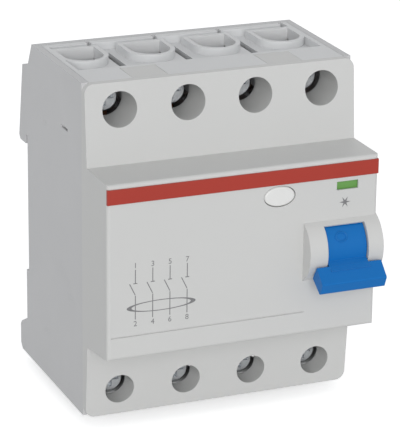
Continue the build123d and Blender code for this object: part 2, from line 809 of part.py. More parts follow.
arm_face = bar_front_y - pad_height - 0.1 - carrier_y  # pad face when closed, from the axis
arm_back = arm_face - pad_height
arm_front = arm_back - arm_thickness
carrier_half_length = inner_x - 0.6
slot_gap = 0.08
seat_front = arm_front - 3.4
with BuildPart() as contact_carrier:
    with BuildSketch(Plane.YZ.offset(-carrier_half_length)):
        with Locations((carrier_y, carrier_z)):
            Circle(carrier_radius)
    extrude(amount=2 * carrier_half_length)
    for x in barrier_x:
        with BuildSketch(Plane.YZ.offset(x - barrier_thickness / 2 - 0.3)):
            with Locations((carrier_y, carrier_z)):
                Circle(carrier_radius + 1)
                Circle(journal_radius, mode=Mode.SUBTRACT)
        extrude(amount=barrier_thickness + 0.6, mode=Mode.SUBTRACT)
    for x in pole_x:
        with BuildSketch(arm_plane(x)):
            with Locations((carrier_radius + 1.2, seat_front + 0.6)):
                Rectangle(7.6, 1.2)
        extrude(amount=arm_width / 2 + 0.5, both=True)
        with BuildSketch(arm_plane(x)):
            with Locations((carrier_radius, (arm_front + arm_back) / 2)):
                Rectangle(2 * carrier_radius - 0.8, arm_thickness + 2 * slot_gap)
        extrude(amount=arm_width / 2 + slot_gap, both=True, mode=Mode.SUBTRACT)
    with BuildSketch(Plane.YZ.offset(opening_left + 0.4)):
        with Locations((carrier_y, carrier_z)):
            Circle(3.4)
        with Locations((carrier_pin_y, pin_z)):
            Circle(2.4)
        make_hull()
        with Locations((carrier_pin_y, pin_z)):
            Circle(wire_radius + 0.5, mode=Mode.SUBTRACT)
    extrude(amount=2.4)
    spring_lug_x = barrier_x[2] - 3.4
    with BuildSketch(Plane.YZ.offset(spring_lug_x - 0.9)):
        with Locations((carrier_y, carrier_z)):
            Circle(3.0)
        with Locations((carrier_y - 2.0, trip_z)):
            Circle(1.6)
        make_hull()
    extrude(amount=1.8)
save(contact_carrier.part, "contact_carrier")

contact_reach = contact_z - carrier_z  # from the carrier's axis to the contact pads
arm_angle = math.radians(2 * carrier_half_travel)
closing_dir = (0, math.cos(arm_angle), math.sin(arm_angle))


def on_arm(x, reach, height):
    """Plane on an arm, at a distance along it, that faces the fixed contact."""
    origin = arm_plane(x).from_local_coords(Vector(reach, height, 0))
    return Plane(origin=origin, x_dir=(1, 0, 0), z_dir=closing_dir)


with BuildPart() as moving_contacts:
    for x in pole_x:
        with BuildSketch(arm_plane(x)):
            with Locations(((arm_length + 0.8) / 2, (arm_front + arm_back) / 2)):
                Rectangle(arm_length - 0.8, arm_thickness)
        extrude(amount=arm_width / 2, both=True)
        with BuildSketch(on_arm(x, contact_reach, arm_back)):
            Circle(pad_radius)
        extrude(amount=pad_height)
save(moving_contacts.part, "moving_contacts")


# ---------------------------------------------------------------- springs
def coil(plane, radius, wire, length, turns):
    """Round-wire coil of the given length, standing on a plane and along its normal."""
    with BuildPart() as spring:
        with BuildLine():
            rise = length - 2 * wire
            start = plane.offset(wire).origin
            line = Helix(rise / turns, rise, radius, center=start, direction=plane.z_dir)
        with BuildSketch(Plane(origin=line @ 0, z_dir=line % 0)):
            Circle(wire)
        sweep()
    return spring.part


contact_spring_reach = carrier_radius + 2.4
spring_room = arm_front - seat_front - 1.2
contact_coils = []
for x in pole_x:
    seat = on_arm(x, contact_spring_reach, seat_front + 1.2 + 0.05)
    contact_coils.append(coil(seat, 1.3, 0.22, spring_room - 0.1, 3))
save(Compound(contact_coils), "contact_springs")

opening_length = abs(trip_y - carrier_y + 2.0) - small_pin_radius - 1.6 - 0.2
opening_plane = Plane(
    origin=(spring_lug_x, trip_y + small_pin_radius + 0.1, trip_z),
    x_dir=(1, 0, 0),
    z_dir=(0, 1, 0),
)
save(coil(opening_plane, 1.5, 0.25, opening_length, 7), "opening_spring")

# Braids: short flexible copper ropes from the arms to the leads, round the carrier.
braid_radius = 1.0
braid_front_y = carrier_y - carrier_radius - 7.0
braid_high_z = carrier_z + 11.4
braid_start_y = carrier_y - 11.4 * math.tan(arm_angle) + arm_front / math.cos(arm_angle) - 0.9
with BuildPart() as flexible_braids:
    for x in pole_x:
        low_x = x
        if abs(x - lead_plan[1][0]) < 2 * turn_radius:
            low_x = lead_plan[1][0]
        with BuildLine():
            braid = FilletPolyline(
                (low_x, braid_start_y, braid_high_z),
                (low_x, braid_front_y, braid_high_z),
                (low_x, braid_front_y, lead_top_z),
                (low_x, lead_end_y - 0.05, lead_top_z),
                radius=1.4,
            )
        with BuildSketch(Plane(origin=braid @ 0, z_dir=braid % 0)):
            Circle(braid_radius)
        sweep()
save(flexible_braids.part, "flexible_braids")

# ---------------------------------------------------------------- position flag
# Two-colour sector behind the window, on its own pin; half its face shows at a time.
flag_half_turn = toggle_half_travel / 2
with BuildPart() as position_flag:
    with BuildSketch(Plane.YZ.offset(window_x - window_width / 2 - 0.5)):
        with Locations((flag_y, flag_axis_z)):
            Circle(flag_radius)
        with BuildLine():
            drop = math.radians(flag_margin)
            top_turn = math.radians(2 * flag_half_turn + flag_margin)
            far = 3 * flag_radius
            Polyline(
                (flag_y, flag_axis_z),
                (flag_y - far * math.cos(drop), flag_axis_z + far * math.sin(drop)),
                (flag_y - far, flag_axis_z),
                (flag_y - far * math.cos(top_turn), flag_axis_z - far * math.sin(top_turn)),
                close=True,
            )
        make_face(mode=Mode.INTERSECT)
        with Locations((flag_y, flag_axis_z)):
            Circle(small_pin_radius + 1.0)
            Circle(small_pin_radius + 0.05, mode=Mode.SUBTRACT)
    extrude(amount=window_width + 1.0)
save(position_flag.part, "position_flag")

# ---------------------------------------------------------------- test button circuit
button_face_y = collar_y - 0.1
flange_front_y = front_inner_y + 0.05
flange_thickness = 1.0
stem_radius = 1.2
blade_y = -46.4
stem_tip_y = blade_y - button_travel - 0.2
with BuildPart() as test_button:
    with BuildSketch(Plane.XZ.offset(-button_face_y)):
        with Locations((button_x, button_z)):
            Ellipse(button_length / 2, button_height / 2)
    extrude(amount=button_face_y - flange_front_y)
    fillet(test_button.edges().group_by(Axis.Y)[0], 0.5)
    with BuildSketch(Plane.XZ.offset(-flange_front_y)):
        with Locations((button_x, button_z)):
            Ellipse(button_length / 2 + 0.8, button_height / 2 + 0.8)
    extrude(amount=-flange_thickness)
    with BuildSketch(Plane.XZ.offset(-flange_front_y - flange_thickness)):
        with Locations((button_x, button_z)):
            Circle(stem_radius)
    extrude(amount=-(stem_tip_y - flange_front_y - flange_thickness))
save(test_button.part, "test_button")

rib_front_y = -50.8
test_plane = Plane(
    origin=(button_x, flange_front_y + flange_thickness + 0.05, button_z),
    x_dir=(1, 0, 0),
    z_dir=(0, 1, 0),
)
test_room = rib_front_y - flange_front_y - flange_thickness - 0.1
save(coil(test_plane, 1.75, 0.2, test_room, 4), "test_spring")

with BuildPart() as test_contact:
    with BuildSketch(Plane.XZ.offset(-blade_y)):
        with Locations(((button_x + 3.0 - 2.0) / 2, 13.0)):
            Rectangle(button_x + 3.0 + 2.0, 4.0)
    extrude(amount=-0.38)
save(test_contact.part, "test_contact")

with BuildPart() as test_resistor:
    resistor_radius = 1.6
    resistor_x = boundary_x[1] - barrier_thickness / 2 - resistor_radius - 0.05
    with BuildSketch(Plane.XZ.offset(-blade_y - 0.48)):
        with Locations((resistor_x, 10.0)):
            Circle(resistor_radius)
    extrude(amount=-7.0)
    fillet(test_resistor.edges().filter_by(GeomType.CIRCLE), 0.5)
save(test_resistor.part, "test_resistor")

# ---------------------------------------------------------------- trip relay and lever
relay_half = 6.9
relay_x = boundary_x[1] + barrier_thickness / 2 + 0.2 + relay_half
relay_y = trip_y - 4.1
relay_low_z = collar_bottom_z + wall + 0.35
relay_top_z = -3.5
relay_wall = 1.0
plunger_radius = 1.2
with BuildPart() as relay_case:
    with BuildSketch(Plane.XY.offset(relay_low_z + relay_wall)):
        with Locations((relay_x, relay_y)):
            Rectangle(2 * relay_half, 2 * relay_half)
    extrude(amount=relay_top_z - relay_low_z - relay_wall)
    fillet(relay_case.edges().filter_by(Axis.Z), 1.0)
    with BuildSketch(Plane.XY.offset(relay_low_z)):
        with Locations((relay_x, relay_y)):
            Rectangle(2 * (relay_half - relay_wall), 2 * (relay_half - relay_wall))
    extrude(amount=relay_top_z - relay_low_z - relay_wall, mode=Mode.SUBTRACT)
    with BuildSketch(Plane.XY.offset(relay_top_z - relay_wall - 1)):
        with Locations((relay_x, relay_y)):
            Circle(plunger_radius + 0.1)
    extrude(amount=relay_wall + 2, mode=Mode.SUBTRACT)
save(relay_case.part, "relay_case")

with BuildPart() as relay_base:
    with BuildSketch(Plane.XY.offset(relay_low_z)):
        with Locations((relay_x, relay_y)):
            Rectangle(2 * relay_half, 2 * relay_half)
    extrude(amount=relay_wall)
    fillet(relay_base.edges().filter_by(Axis.Z), 1.0)
save(relay_base.part, "relay_base")

coil_low_z = relay_low_z + relay_wall + 0.05
coil_top_z = relay_top_z - relay_wall - 2.4
with BuildPart() as relay_coil:
    with BuildSketch(Plane.XY.offset(coil_low_z)):
        with Locations((relay_x, relay_y)):
            Circle(5.2)
    extrude(amount=coil_top_z - coil_low_z)
    with BuildSketch(Plane.XY.offset(coil_low_z + 1.0)):
        with Locations((relay_x, relay_y)):
            Circle(5.3)
            Circle(4.6, mode=Mode.SUBTRACT)
    extrude(amount=coil_top_z - coil_low_z - 2.0, mode=Mode.SUBTRACT)
    with BuildSketch(Plane.XY.offset(coil_low_z + 3.0)):
        with Locations((relay_x, relay_y)):
            Circle(plunger_radius + 0.1)
    extrude(amount=coil_top_z - coil_low_z, mode=Mode.SUBTRACT)
save(relay_coil.part, "relay_coil")

lever_low_z = trip_z - 2.6
plunger_rest_z = lever_low_z - 0.15
with BuildPart() as relay_plunger:
    with BuildSketch(Plane.XY.offset(coil_low_z + 3.5)):
        with Locations((relay_x, relay_y)):
            Circle(plunger_radius)
    extrude(amount=plunger_rest_z - coil_low_z - 3.5)
    fillet(relay_plunger.edges().group_by(Axis.Z)[-1], 0.4)
save(relay_plunger.part, "relay_plunger")

with BuildPart() as trip_lever:
    with BuildSketch(Plane.YZ.offset(trip_lever_x - 2.5)):
        with Locations((trip_y, trip_z)):
            Circle(2.6)
        with BuildLine():
            Polyline(
                (trip_y, trip_z + 2.6),
                (relay_y - 2.5, lever_low_z + 2.0),
                (relay_y - 2.5, lever_low_z),
                (trip_y, lever_low_z),
                close=True,
            )
        make_face()
        with Locations((trip_y, trip_z)):
            Circle(small_pin_radius + 0.04, mode=Mode.SUBTRACT)
    extrude(amount=5.0)
save(trip_lever.part, "trip_lever")

# ---------------------------------------------------------------- rail clip
clip_front_y = clip_floor_y + clip_gap
clip_nose_z = -hook_lip_z
slot_top_z = foot_top_z + clip_travel + 4.4  # leaves room for the closed spring
slot_low_z = peg_z - peg_radius - 2 * clip_gap
slot_width = 4.4
prise_width = 6.0
prise_height = 1.2
with BuildPart() as din_clip:
    with BuildSketch(Plane.XZ.offset(-clip_front_y)):
        with BuildLine():
            Polyline(
                (-clip_width / 2, clip_nose_z),
                (clip_width / 2, clip_nose_z),
                (clip_width / 2, clip_bottom_z + 3.5),
                (clip_width / 2 - clip_corner, clip_bottom_z),
                (-clip_width / 2 + clip_corner, clip_bottom_z),
                (-clip_width / 2, clip_bottom_z + 3.5),
                close=True,
            )
        make_face()
        with Locations((0, (slot_top_z + slot_low_z) / 2)):
            Rectangle(slot_width, slot_top_z - slot_low_z, mode=Mode.SUBTRACT)
        with Locations((0, clip_bottom_z + 1.8)):
            Rectangle(prise_width, prise_height, mode=Mode.SUBTRACT)
    extrude(amount=-clip_thickness)
    nose_edge = din_clip.edges().filter_by(Axis.X).group_by(Axis.Z)[-1].sort_by(Axis.Y)[0]
    chamfer(nose_edge, 1.4)
save(din_clip.part, "din_clip")

clip_spring_low_z = peg_z + peg_radius + 0.05
clip_spring_plane = Plane(
    origin=(0, clip_front_y + clip_thickness / 2, clip_spring_low_z),
    x_dir=(1, 0, 0),
    z_dir=(0, 0, 1),
)
clip_spring_length = slot_top_z - clip_spring_low_z - 0.05
save(coil(clip_spring_plane, 1.3, 0.25, clip_spring_length, 6), "din_clip_spring")
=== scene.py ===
import math

import bpy
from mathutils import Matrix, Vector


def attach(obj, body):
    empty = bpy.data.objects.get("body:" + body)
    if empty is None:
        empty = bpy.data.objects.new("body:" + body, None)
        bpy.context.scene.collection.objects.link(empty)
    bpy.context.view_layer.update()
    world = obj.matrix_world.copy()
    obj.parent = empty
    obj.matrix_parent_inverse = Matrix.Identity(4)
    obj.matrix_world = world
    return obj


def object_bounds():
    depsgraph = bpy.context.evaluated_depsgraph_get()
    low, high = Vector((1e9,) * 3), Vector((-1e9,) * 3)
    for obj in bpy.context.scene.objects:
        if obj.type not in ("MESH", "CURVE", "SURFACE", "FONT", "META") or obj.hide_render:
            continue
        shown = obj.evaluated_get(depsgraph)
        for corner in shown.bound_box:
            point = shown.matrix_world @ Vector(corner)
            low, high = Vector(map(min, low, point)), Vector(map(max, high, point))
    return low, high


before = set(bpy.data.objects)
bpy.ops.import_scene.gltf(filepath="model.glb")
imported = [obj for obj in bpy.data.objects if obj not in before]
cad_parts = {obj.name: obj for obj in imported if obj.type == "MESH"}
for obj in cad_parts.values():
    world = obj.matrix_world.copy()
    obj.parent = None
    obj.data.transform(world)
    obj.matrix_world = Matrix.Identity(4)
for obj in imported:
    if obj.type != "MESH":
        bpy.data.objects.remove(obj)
cad_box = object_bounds()
MM = 0.001

# ---------------------------------------------------------------- studio
# The device stands on a white table under a broad, soft light from the front, a little
# from the left and from above, with a pale room all round it. The camera looks down on its left
# front corner from about two thirds of a metre away.
camera_data = bpy.data.cameras.new("studio_camera")
camera_data.lens = 208.65
camera_data.sensor_width = 36.0
camera_data.sensor_fit = "AUTO"
camera_data.clip_start = 0.01
camera = bpy.data.objects.new("studio_camera", camera_data)
bpy.context.scene.collection.objects.link(camera)
camera.location = (-228.09 * MM, -579.74 * MM, 209.70 * MM)
camera.rotation_euler = (math.radians(70.678), math.radians(-0.623), math.radians(-22.31))
bpy.context.scene.camera = camera
bpy.context.scene.view_settings.view_transform = "Standard"

key_data = bpy.data.lights.new("soft_key", "SUN")
key_data.energy = 1.85
key_data.angle = math.radians(50)
key = bpy.data.objects.new("soft_key", key_data)
bpy.context.scene.collection.objects.link(key)
key.rotation_euler = (math.radians(80), 0, math.radians(-20))

world = bpy.data.worlds.new("pale_room")
bpy.context.scene.world = world
world.use_nodes = True
room = world.node_tree
room.nodes.clear()
room_light = room.nodes.new("ShaderNodeBackground")
room_light.inputs["Color"].default_value = (0.97, 0.985, 1.0, 1)
room_light.inputs["Strength"].default_value = 0.53
room_seen = room.nodes.new("ShaderNodeBackground")
room_seen.inputs["Color"].default_value = (1, 1, 1, 1)
room_seen.inputs["Strength"].default_value = 1.0
ray = room.nodes.new("ShaderNodeLightPath")
camera_or_gloss = room.nodes.new("ShaderNodeMath")
camera_or_gloss.operation = "MAXIMUM"
room.links.new(ray.outputs["Is Camera Ray"], camera_or_gloss.inputs[0])
room.links.new(ray.outputs["Is Glossy Ray"], camera_or_gloss.inputs[1])
seen_any = room.nodes.new("ShaderNodeMath")
seen_any.operation = "MAXIMUM"
room.links.new(camera_or_gloss.outputs["Value"], seen_any.inputs[0])
room.links.new(ray.outputs["Is Transmission Ray"], seen_any.inputs[1])
room_mix = room.nodes.new("ShaderNodeMixShader")
room.links.new(seen_any.outputs["Value"], room_mix.inputs["Fac"])
room.links.new(room_light.outputs["Background"], room_mix.inputs[1])
room.links.new(room_seen.outputs["Background"], room_mix.inputs[2])
room_out = room.nodes.new("ShaderNodeOutputWorld")
room.links.new(room_mix.outputs["Shader"], room_out.inputs["Surface"])

bpy.ops.object.select_all(action="DESELECT")
bpy.ops.mesh.primitive_plane_add(size=6, location=(0, 0, cad_box[0][2] - 0.05 * MM))
table = bpy.context.object
table.name = "table"
table_top = bpy.data.materials.new("white_table")
table_top.use_nodes = True
tree = table_top.node_tree
tree.nodes.clear()
matt = tree.nodes.new("ShaderNodeBsdfDiffuse")
matt.inputs["Color"].default_value = (0.9, 0.9, 0.9, 1)
lift = tree.nodes.new("ShaderNodeEmission")
lift.inputs["Color"].default_value = (1, 1, 1, 1)
ray = tree.nodes.new("ShaderNodeLightPath")
strength = tree.nodes.new("ShaderNodeMath")
strength.operation = "MULTIPLY"
strength.inputs[1].default_value = 0.55
tree.links.new(ray.outputs["Is Camera Ray"], strength.inputs[0])
tree.links.new(strength.outputs["Value"], lift.inputs["Strength"])
both = tree.nodes.new("ShaderNodeAddShader")
tree.links.new(matt.outputs["BSDF"], both.inputs[0])
tree.links.new(lift.outputs["Emission"], both.inputs[1])
out = tree.nodes.new("ShaderNodeOutputMaterial")
tree.links.new(both.outputs["Shader"], out.inputs["Surface"])
table.data.materials.append(table_top)


# ---------------------------------------------------------------- rear base
# The grey half of the case: a glass-filled polyamide moulding with the rail recess in
# its back. Its side walls carry round ejector marks, a vent slit and a fine spark-
# eroded grain, and the front cover is latched onto its open edge.
def dress(material, *nodes):
    """Give CAD pieces their material."""
    for node in nodes:
        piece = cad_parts[node]
        piece.data.materials.clear()
        piece.data.materials.append(material)


def moulded(name, colour, roughness=0.5, grain=0.06, mottle=0.04, edge=0.15, edge_highlight_and_wear_lift=0.10):
    """Injection-moulded plastic: fine grain, faint flow mottle, and lighter edges that are a
    painted edge highlight with slight wear.
    """
    material = bpy.data.materials.new(name)
    material.use_nodes = True
    tree = material.node_tree
    shader = tree.nodes["Principled BSDF"]
    place = tree.nodes.new("ShaderNodeTexCoord")
    centre = tree.nodes.new("ShaderNodeMapping")
    tree.links.new(place.outputs["Object"], centre.inputs["Vector"])
    flow = tree.nodes.new("ShaderNodeTexNoise")
    flow.inputs["Scale"].default_value = 55
    flow.inputs["Detail"].default_value = 4
    flow.inputs["Distortion"].default_value = 0.6
    tree.links.new(centre.outputs["Vector"], flow.inputs["Vector"])
    tint = tree.nodes.new("ShaderNodeMix")
    tint.data_type = "RGBA"
    tint.inputs["A"].default_value = (*[c * (1 - mottle) for c in colour], 1)
    tint.inputs["B"].default_value = (*[min(1, c * (1 + mottle)) for c in colour], 1)
    tree.links.new(flow.outputs["Fac"], tint.inputs["Factor"])
    rounded = tree.nodes.new("ShaderNodeBevel")
    rounded.samples = 6
    rounded.inputs["Radius"].default_value = edge * MM
    flat = tree.nodes.new("ShaderNodeNewGeometry")
    agree = tree.nodes.new("ShaderNodeVectorMath")
    agree.operation = "DOT_PRODUCT"
    tree.links.new(rounded.outputs["Normal"], agree.inputs[0])
    tree.links.new(flat.outputs["Normal"], agree.inputs[1])
    # Where the rounded normal turns away from the flat one, the colour is painted lighter: a
    # painted edge highlight, with a little wear.
    edge_highlight_and_wear_mask = tree.nodes.new("ShaderNodeMapRange")
    edge_highlight_and_wear_mask.inputs["From Min"].default_value = 0.98
    edge_highlight_and_wear_mask.inputs["From Max"].default_value = 0.80
    tree.links.new(agree.outputs["Value"], edge_highlight_and_wear_mask.inputs["Value"])
    edge_highlight_and_wear = tree.nodes.new("ShaderNodeMath")
    edge_highlight_and_wear.operation = "MULTIPLY"
    edge_highlight_and_wear.inputs[1].default_value = edge_highlight_and_wear_lift
    tree.links.new(edge_highlight_and_wear_mask.outputs["Result"], edge_highlight_and_wear.inputs[0])
    edged = tree.nodes.new("ShaderNodeMix")
    edged.data_type = "RGBA"
    edged.inputs["B"].default_value = (*[min(1, c + 0.35) for c in colour], 1)
    tree.links.new(tint.outputs["Result"], edged.inputs["A"])
    tree.links.new(edge_highlight_and_wear.outputs["Value"], edged.inputs["Factor"])
    tree.links.new(edged.outputs["Result"], shader.inputs["Base Color"])
    speck = tree.nodes.new("ShaderNodeTexNoise")
    speck.inputs["Scale"].default_value = 2600
    speck.inputs["Detail"].default_value = 3
    tree.links.new(centre.outputs["Vector"], speck.inputs["Vector"])
    sheen = tree.nodes.new("ShaderNodeMapRange")
    sheen.inputs["To Min"].default_value = roughness - 0.06
    sheen.inputs["To Max"].default_value = roughness + 0.08
    tree.links.new(speck.outputs["Fac"], sheen.inputs["Value"])
    tree.links.new(sheen.outputs["Result"], shader.inputs["Roughness"])
    bump = tree.nodes.new("ShaderNodeBump")
    bump.inputs["Strength"].default_value = grain
    bump.inputs["Distance"].default_value = 0.05 * MM
    tree.links.new(speck.outputs["Fac"], bump.inputs["Height"])
    tree.links.new(rounded.outputs["Normal"], bump.inputs["Normal"])
    tree.links.new(bump.outputs["Normal"], shader.inputs["Normal"])
    return material


def settle(piece, body, material=None):
    """Freeze a finished piece in place, give it its material and let it ride on a body."""
    bpy.ops.object.select_all(action="DESELECT")
    piece.select_set(True)
    bpy.context.view_layer.objects.active = piece
    bpy.ops.object.transform_apply(location=True, rotation=True, scale=True)
    if material is not None:
        piece.data.materials.clear()
        piece.data.materials.append(material)
    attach(piece, body)


def pick_faces(piece, test):
    """In edit mode, leave only the faces selected that pass the test."""
    bpy.ops.object.mode_set(mode="OBJECT")
    for item in list(piece.data.vertices) + list(piece.data.edges):
        item.select = False
    for face in piece.data.polygons:
        face.select = bool(test(face))
    bpy.ops.object.mode_set(mode="EDIT")


base_plastic = moulded("base_polyamide", (0.60, 0.60, 0.605), roughness=0.52, grain=0.09)
dress(base_plastic, "rear_base")

case_right = cad_box[1][0]
ejector_places = [(-31.9, -14.5), (-14.0, -30.0), (-14.0, 25.0)]
for number, (mark_y, mark_z) in enumerate(ejector_places, start=1):
    for side, name in ((-1, "left"), (1, "right")):
        bpy.ops.object.select_all(action="DESELECT")
        bpy.ops.mesh.primitive_torus_add(
            major_segments=32,
            minor_segments=8,
            major_radius=1.3 * MM,
            minor_radius=0.07 * MM,
            location=(side * case_right, mark_y * MM, mark_z * MM),
            rotation=(0, math.radians(90), 0),
        )
        mark = bpy.context.object
        mark.name = f"ejector_mark_{name}_{number}"
        mark.scale = (0.5, 1, 1)
        bpy.ops.object.mode_set(mode="EDIT")
        bpy.ops.mesh.select_all(action="SELECT")
        bpy.ops.transform.resize(value=(0.6, 1, 1))
        bpy.ops.object.mode_set(mode="OBJECT")
        bpy.ops.object.shade_smooth()
        settle(mark, "case", base_plastic)

# ---------------------------------------------------------------- rail clip
# A white acetal slide with a wedge nose that snaps behind the rail's lower flange. It
# runs in a channel of the base, and a small coil spring pushes it up.
clip_plastic = moulded("clip_acetal", (0.66, 0.66, 0.64), roughness=0.4, grain=0.04)
dress(clip_plastic, "din_clip")


def drawn_metal(name, colour, roughness=0.3, streak=0.12, edge=0.08):
    """Drawn or pressed metal: fine lengthwise streaks, with a soft sheen that varies."""
    material = bpy.data.materials.new(name)
    material.use_nodes = True
    tree = material.node_tree
    shader = tree.nodes["Principled BSDF"]
    shader.inputs["Metallic"].default_value = 1.0
    place = tree.nodes.new("ShaderNodeTexCoord")
    stretch = tree.nodes.new("ShaderNodeMapping")
    stretch.inputs["Scale"].default_value = (1, 0.12, 1)
    tree.links.new(place.outputs["Object"], stretch.inputs["Vector"])
    lines = tree.nodes.new("ShaderNodeTexNoise")
    lines.inputs["Scale"].default_value = 1800
    lines.inputs["Detail"].default_value = 4
    tree.links.new(stretch.outputs["Vector"], lines.inputs["Vector"])
    patch = tree.nodes.new("ShaderNodeTexNoise")
    patch.inputs["Scale"].default_value = 300
    tree.links.new(place.outputs["Object"], patch.inputs["Vector"])
    tint = tree.nodes.new("ShaderNodeMix")
    tint.data_type = "RGBA"
    tint.inputs["A"].default_value = (*[c * 0.82 for c in colour], 1)
    tint.inputs["B"].default_value = (*[min(1, c * 1.1) for c in colour], 1)
    tree.links.new(patch.outputs["Fac"], tint.inputs["Factor"])
    tree.links.new(tint.outputs["Result"], shader.inputs["Base Color"])
    sheen = tree.nodes.new("ShaderNodeMapRange")
    sheen.inputs["To Min"].default_value = roughness - 0.1
    sheen.inputs["To Max"].default_value = roughness + 0.12
    tree.links.new(lines.outputs["Fac"], sheen.inputs["Value"])
    tree.links.new(sheen.outputs["Result"], shader.inputs["Roughness"])
    rounded = tree.nodes.new("ShaderNodeBevel")
    rounded.samples = 6
    rounded.inputs["Radius"].default_value = edge * MM
    bump = tree.nodes.new("ShaderNodeBump")
    bump.inputs["Strength"].default_value = streak
    bump.inputs["Distance"].default_value = 0.02 * MM
    tree.links.new(lines.outputs["Fac"], bump.inputs["Height"])
    tree.links.new(rounded.outputs["Normal"], bump.inputs["Normal"])
    tree.links.new(bump.outputs["Normal"], shader.inputs["Normal"])
    return material


spring_steel = drawn_metal("spring_wire", (0.55, 0.56, 0.58), roughness=0.28)
dress(spring_steel, "din_clip_spring")

# ---------------------------------------------------------------- terminals
# Eight cage clamps of zinc-plated steel, each drawn up by a combination-head screw, so
# that a cable is pinched behind a copper bar. The screw heads sit down their holes.
zinc_steel = drawn_metal("zinc_plate", (0.62, 0.64, 0.66), roughness=0.33)
bare_copper = drawn_metal("bare_copper", (0.72, 0.36, 0.22), roughness=0.38)
dress(bare_copper, "line_bars", "load_bars")
dress(zinc_steel, *[f"{row}_clamp_{n}" for row in ("top", "bottom") for n in range(1, 5)])
dress(zinc_steel, *[f"{row}_screw_{n}" for row in ("top", "bottom") for n in range(1, 5)])

# ---------------------------------------------------------------- toroid and leads
# The summation transformer: a tape-wound core in a black case, with a band of enamelled
# wire, and the four insulated leads that pass through its hole.
core_plastic = moulded("core_case", (0.035, 0.035, 0.04), roughness=0.42)
enamel = drawn_metal("enamelled_wire", (0.45, 0.14, 0.05), roughness=0.3, streak=0.5)
sleeve = moulded("lead_sleeve", (0.05, 0.05, 0.055), roughness=0.55)
dress(core_plastic, "toroid_core")
dress(enamel, "secondary_winding")
dress(sleeve, "primary_leads")

# ---------------------------------------------------------------- barriers and frame
# Grey insulating walls between the poles, and the pressed steel plates that carry the
# toggle, the flag and the trip lever on drawn pins.
barrier_plastic = moulded("barrier_plastic", (0.30, 0.30, 0.31), roughness=0.55)
dress(barrier_plastic, "phase_barriers")
dress(zinc_steel, "mechanism_frame")
dress(spring_steel, "toggle_pin", "flag_pin", "frame_spacer", "trip_pin")

# ---------------------------------------------------------------- contacts
# A dark thermoset shaft carries four copper arms on small springs. Braided copper ropes
# join the arms to the leads, and a coil spring throws the shaft open.
thermoset = moulded("dark_thermoset", (0.07, 0.055, 0.045), roughness=0.48)
dress(thermoset, "contact_carrier", "trip_lever")
dress(bare_copper, "moving_contacts", "flexible_braids", "test_contact")
dress(spring_steel, "contact_springs", "opening_spring", "drive_link", "test_spring")

# ---------------------------------------------------------------- trip relay
# A small relay in a dark case, whose steel plunger lifts the trip lever.
relay_plastic = moulded("relay_plastic", (0.13, 0.13, 0.15), roughness=0.45)
dress(relay_plastic, "relay_case", "relay_base")
dress(enamel, "relay_coil")
dress(spring_steel, "relay_plunger")
resistor_lacquer = moulded("resistor_lacquer", (0.42, 0.33, 0.2), roughness=0.35)
dress(resistor_lacquer, "test_resistor")

# ---------------------------------------------------------------- position flag
# A two-colour sector behind the window: green while the contacts are open, and red when
# they are closed. The two colours meet along a line half way round its face.
flag_finish = moulded("flag_two_colour", (0.145, 0.35, 0.08), roughness=0.4)
tree = flag_finish.node_tree
shader = tree.nodes["Principled BSDF"]
green = shader.inputs["Base Color"].links[0].from_socket
place = tree.nodes.new("ShaderNodeTexCoord")
from_axis = tree.nodes.new("ShaderNodeMapping")
flag_axis_y, flag_axis_z = -50.5, 15.4
from_axis.inputs["Location"].default_value = (0, -flag_axis_y * MM, -flag_axis_z * MM)
tree.links.new(place.outputs["Object"], from_axis.inputs["Vector"])
parting = math.radians(16.5)
height = tree.nodes.new("ShaderNodeVectorMath")
height.operation = "DOT_PRODUCT"
height.inputs[1].default_value = (0, -math.sin(parting), math.cos(parting))
tree.links.new(from_axis.outputs["Vector"], height.inputs[0])
upper = tree.nodes.new("ShaderNodeMath")
upper.operation = "GREATER_THAN"
upper.inputs[1].default_value = 0
tree.links.new(height.outputs["Value"], upper.inputs[0])
halves = tree.nodes.new("ShaderNodeMix")
halves.data_type = "RGBA"
halves.inputs["A"].default_value = (0.45, 0.04, 0.025, 1)
tree.links.new(green, halves.inputs["B"])
tree.links.new(upper.outputs["Value"], halves.inputs["Factor"])
tree.links.new(halves.outputs["Result"], shader.inputs["Base Color"])
dress(flag_finish, "position_flag")

# ---------------------------------------------------------------- toggle
# A semi-gloss blue moulding: a drum on the toggle pin, seen through the hump's opening,
# and a wide bar for the finger.
toggle_plastic = moulded("toggle_blue", (0.002, 0.153, 0.485), roughness=0.42, grain=0.05)
toggle_plastic.node_tree.nodes["Principled BSDF"].inputs["Specular IOR Level"].default_value = 0.25
dress(toggle_plastic, "toggle_lever")

# a moulded ring on the drum, seen above the bar
toggle_axis_y, toggle_axis_z, drum_reach = -54.0, -0.4, 7.5
ring_x = 24.3
ring_tilt = math.radians(30.4)
bpy.ops.object.select_all(action="DESELECT")
bpy.ops.mesh.primitive_torus_add(
    major_segments=40,
    minor_segments=10,
    major_radius=1.15 * MM,
    minor_radius=0.2 * MM,
    location=(
        ring_x * MM,
        (toggle_axis_y - drum_reach * math.cos(ring_tilt)) * MM,
        (toggle_axis_z + drum_reach * math.sin(ring_tilt)) * MM,
    ),
    rotation=(math.radians(90) - ring_tilt, 0, 0),
)
drum_ring = bpy.context.object
drum_ring.name = "drum_ring"
bpy.ops.object.mode_set(mode="EDIT")
bpy.ops.mesh.select_all(action="SELECT")
bpy.ops.transform.resize(value=(1.25, 1, 1), center_override=drum_ring.location)
bpy.ops.object.mode_set(mode="OBJECT")
bpy.ops.object.shade_smooth()
settle(drum_ring, "toggle", toggle_plastic)

# ---------------------------------------------------------------- terminal shrouds
# Pale grey insulating plates, dropped into the open top and bottom of the base, with
# a raised D-shaped collar round each cable entry.
shroud_plastic = moulded("shroud_plastic", (0.71, 0.715, 0.72), roughness=0.5, grain=0.08)
dress(shroud_plastic, "terminal_shroud_top", "terminal_shroud_bottom")

